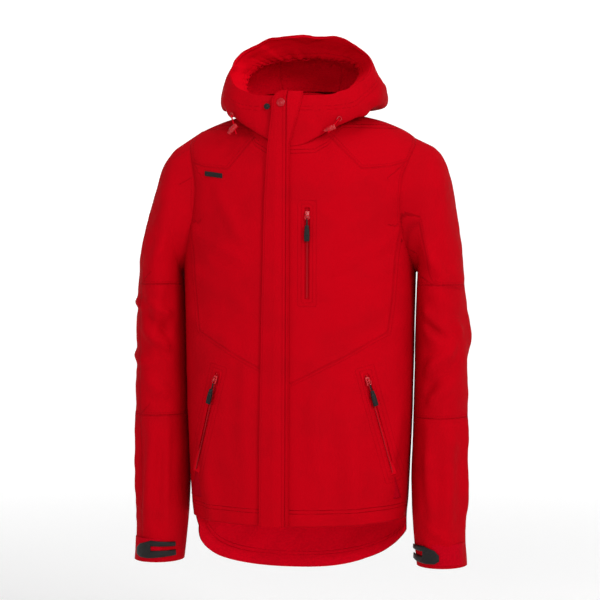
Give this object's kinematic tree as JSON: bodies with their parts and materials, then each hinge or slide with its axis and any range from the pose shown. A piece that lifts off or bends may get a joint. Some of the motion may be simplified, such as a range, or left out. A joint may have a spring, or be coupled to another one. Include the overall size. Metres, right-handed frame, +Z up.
{
  "type": "hooded ski jacket",
  "caption": "Hooded softshell ski jacket, zipped up, with storm flap, zipped pockets, cuff tabs, hood cord locks, folding hood and jointed sleeves.",
  "frame": {"origin": "middle of the neck opening, level with the shoulder line, where the wearer or a display form holds the jacket up", "axes": "+Z up, front of the jacket towards -Y, the wearer's left towards +X"},
  "size_m": [0.578, 0.2942, 0.9396],
  "materials": {
    "red_softshell": "matte",
    "red_tape": "matte",
    "black_tape": "matte",
    "black_plastic": "matte",
    "red_plastic": "gloss"
  },
  "bodies": {
    "jacket": {"yoke_L": "red_softshell", "chest_L": "red_softshell", "side_L": "red_softshell", "yoke_R": "red_softshell", "chest_R": "red_softshell", "side_R": "red_softshell", "back": "red_softshell", "sleeve_upper_L": "red_softshell", "sleeve_upper_R": "red_softshell", "collar": "red_softshell", "zip_tape_L": "red_tape", "zip_tape_R": "red_tape", "zip_coil": "black_plastic", "flap_base": "red_softshell", "snap_stud": "black_plastic", "chest_zip": "red_tape", "hand_L_zip": "red_tape", "hand_R_zip": "red_tape", "hand_L_bag": "red_softshell", "hand_R_bag": "red_softshell", "chest_bag": "red_softshell", "chest_tag": "black_tape", "eyelet_L": "red_plastic", "hood_cord_L": "red_tape", "cord_lock_L": "red_plastic", "eyelet_R": "red_plastic", "hood_cord_R": "red_tape", "cord_lock_R": "red_plastic", "hanger_loop": "red_tape", "neck_label": "black_tape", "size_tag": "black_tape"},
    "hood": {"hood_front": "red_softshell", "hood_back": "red_softshell", "hood_facing": "red_softshell"},
    "flap": {"storm_flap": "red_softshell", "snap_cap": "red_plastic", "snap_socket": "black_plastic"},
    "front_slider": {"zip_slider": "black_plastic", "zip_pull": "black_plastic"},
    "chest_slider": {"chest_slider": "red_plastic"},
    "chest_pull": {"chest_pull": "black_plastic"},
    "hand_L_slider": {"hand_L_slider": "red_plastic"},
    "hand_L_pull": {"hand_L_pull": "black_plastic"},
    "hand_R_slider": {"hand_R_slider": "red_plastic"},
    "hand_R_pull": {"hand_R_pull": "black_plastic"},
    "arm_L": {"sleeve_elbow_L": "red_softshell"},
    "forearm_L": {"sleeve_lower_L": "red_softshell", "cuff_patch_L": "red_tape"},
    "cuff_tab_L": {"cuff_tab_L": "black_plastic"},
    "lock_button_L": {"lock_button_L": "red_plastic"},
    "arm_R": {"sleeve_elbow_R": "red_softshell"},
    "forearm_R": {"sleeve_lower_R": "red_softshell", "cuff_patch_R": "red_tape"},
    "cuff_tab_R": {"cuff_tab_R": "black_plastic"},
    "lock_button_R": {"lock_button_R": "red_plastic"}
  },
  "joints": [
    {"name": "hood_fold", "type": "hinge", "parent": "jacket", "child": "hood", "pos_m": [0, 0.07, 0.036], "axis": [-1, 0, 0], "range_deg": [0, 40], "deforming": ["collar"]},
    {"name": "flap_swing", "type": "hinge", "parent": "jacket", "child": "flap", "pos_m": [-0.006, -0.13261, -0.29972], "axis": [0, 0.0247, 0.9997], "range_deg": [0, 95]},
    {"name": "front_zip", "type": "slide", "parent": "jacket", "child": "front_slider", "axis": [0, -0.0247, -0.9997], "range_m": [0, 0.662]},
    {"name": "chest_zip_run", "type": "slide", "parent": "jacket", "child": "chest_slider", "axis": [0, -0.0246, -0.9997], "range_m": [0, 0.125]},
    {"name": "chest_pull_swing", "type": "hinge", "parent": "chest_slider", "child": "chest_pull", "pos_m": [0.02916, -0.12409, -0.17192], "axis": [-0.9986, -0.0522, 0.0013], "range_deg": [0, 110]},
    {"name": "hand_L_zip_run", "type": "slide", "parent": "jacket", "child": "hand_L_slider", "axis": [0.2444, 0.1563, -0.957], "range_m": [0, 0.15]},
    {"name": "hand_L_pull_swing", "type": "hinge", "parent": "hand_L_slider", "child": "hand_L_pull", "pos_m": [0.13015, -0.10699, -0.44772], "axis": [-0.7905, -0.5394, -0.2899], "range_deg": [0, 110]},
    {"name": "hand_R_zip_run", "type": "slide", "parent": "jacket", "child": "hand_R_slider", "axis": [-0.2444, 0.1563, -0.957], "range_m": [0, 0.15]},
    {"name": "hand_R_pull_swing", "type": "hinge", "parent": "hand_R_slider", "child": "hand_R_pull", "pos_m": [-0.13015, -0.10699, -0.44772], "axis": [-0.7905, 0.5394, 0.2899], "range_deg": [0, 110]},
    {"name": "shoulder_L", "type": "hinge", "parent": "jacket", "child": "arm_L", "pos_m": [0.19, 0.01, -0.07], "axis": [0, -1, 0], "range_deg": [0, 50], "deforming": ["sleeve_upper_L"]},
    {"name": "elbow_L", "type": "hinge", "parent": "arm_L", "child": "forearm_L", "pos_m": [0.243, 0.02, -0.4], "axis": [-1, 0, 0], "range_deg": [0, 65], "deforming": ["sleeve_elbow_L"]},
    {"name": "cuff_tab_swing_L", "type": "hinge", "parent": "forearm_L", "child": "cuff_tab_L", "pos_m": [0.1985, -0.0125, -0.745], "axis": [0, 0, -1], "range_deg": [0, 80]},
    {"name": "lock_press_L", "type": "slide", "parent": "jacket", "child": "lock_button_L", "axis": [-0.9356, 0, -0.353], "range_m": [0, 0.0022], "stiffness_N_per_m": 300, "springref_m": -0.002},
    {"name": "shoulder_R", "type": "hinge", "parent": "jacket", "child": "arm_R", "pos_m": [-0.19, 0.01, -0.07], "axis": [0, 1, 0], "range_deg": [0, 50], "deforming": ["sleeve_upper_R"]},
    {"name": "elbow_R", "type": "hinge", "parent": "arm_R", "child": "forearm_R", "pos_m": [-0.243, 0.02, -0.4], "axis": [-1, 0, 0], "range_deg": [0, 65], "deforming": ["sleeve_elbow_R"]},
    {"name": "cuff_tab_swing_R", "type": "hinge", "parent": "forearm_R", "child": "cuff_tab_R", "pos_m": [-0.2105, -0.0465, -0.745], "axis": [0, 0, 1], "range_deg": [0, 80]},
    {"name": "lock_press_R", "type": "slide", "parent": "jacket", "child": "lock_button_R", "axis": [-0.6816, 0, -0.7317], "range_m": [0, 0.0022], "stiffness_N_per_m": 300, "springref_m": -0.002}
  ]
}
